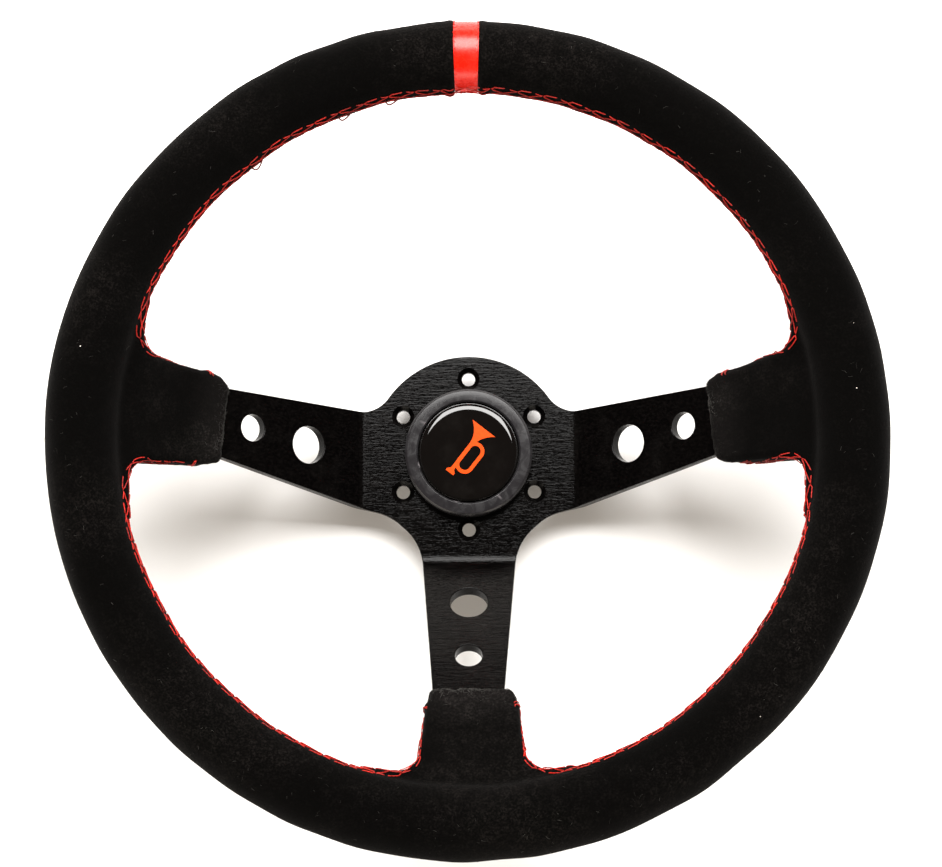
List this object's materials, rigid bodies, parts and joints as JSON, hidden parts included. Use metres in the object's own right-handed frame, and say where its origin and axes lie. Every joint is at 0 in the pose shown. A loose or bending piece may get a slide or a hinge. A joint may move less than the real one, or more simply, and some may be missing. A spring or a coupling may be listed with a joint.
{
  "type": "steering wheel",
  "caption": "Deep-dish three-spoke sports steering wheel with a suede rim, bent plate spokes, a bolt circle and a sprung horn button.",
  "frame": {"origin": "under the middle of the wheel, on the surface that the rear collar of the horn housing rests on", "axes": "+Z along the wheel's axis towards the driver, +Y at 12 o'clock, +X to the driver's right"},
  "size_m": [0.35, 0.35, 0.121],
  "materials": {
    "black_suede": "black suede with a soft brushed nap",
    "red_leather": "smooth glossy orange-red leather",
    "red_thread": "waxed red thread",
    "black_anodised": "brushed and anodised black",
    "bare_aluminium": "bare, as cut",
    "moulded_foam": "semi-rigid polyurethane foam skin",
    "satin_black": "satin moulded black",
    "gloss_black": "polished black",
    "black_plastic": "plain moulded black",
    "plated_steel": "bright zinc plate",
    "brass": "plain sheet brass"
  },
  "bodies": {
    "wheel": {"spoke_plate": "black_anodised", "rim_ring": "bare_aluminium", "ring_lug_left": "bare_aluminium", "ring_lug_right": "bare_aluminium", "ring_lug_bottom": "bare_aluminium", "spoke_rivet_left_1": "bare_aluminium", "spoke_rivet_left_2": "bare_aluminium", "spoke_rivet_right_1": "bare_aluminium", "spoke_rivet_right_2": "bare_aluminium", "spoke_rivet_bottom_1": "bare_aluminium", "spoke_rivet_bottom_2": "bare_aluminium", "rim_foam": "moulded_foam", "suede_cover": "black_suede", "centre_band": "red_leather", "seam_thread_top": "red_thread", "seam_thread_left": "red_thread", "seam_thread_right": "red_thread", "horn_bezel": "satin_black", "horn_housing": "black_plastic", "horn_base": "black_plastic", "horn_spring": "plated_steel", "fixed_contact": "brass", "spade_terminal_live": "brass", "spade_terminal_earth": "brass", "base_screw_1": "plated_steel", "base_screw_2": "plated_steel", "base_screw_3": "plated_steel"},
    "button": {"horn_cap": "gloss_black", "horn_badge": "gloss_black", "moving_contact": "brass"}
  },
  "joints": [
    {"name": "horn_press", "type": "slide", "parent": "wheel", "child": "button", "axis": [0, 0, -1], "range_m": [0, 0.0025], "stiffness_N_per_m": 1500, "springref_m": -0.002, "deforming": ["horn_spring"]}
  ]
}
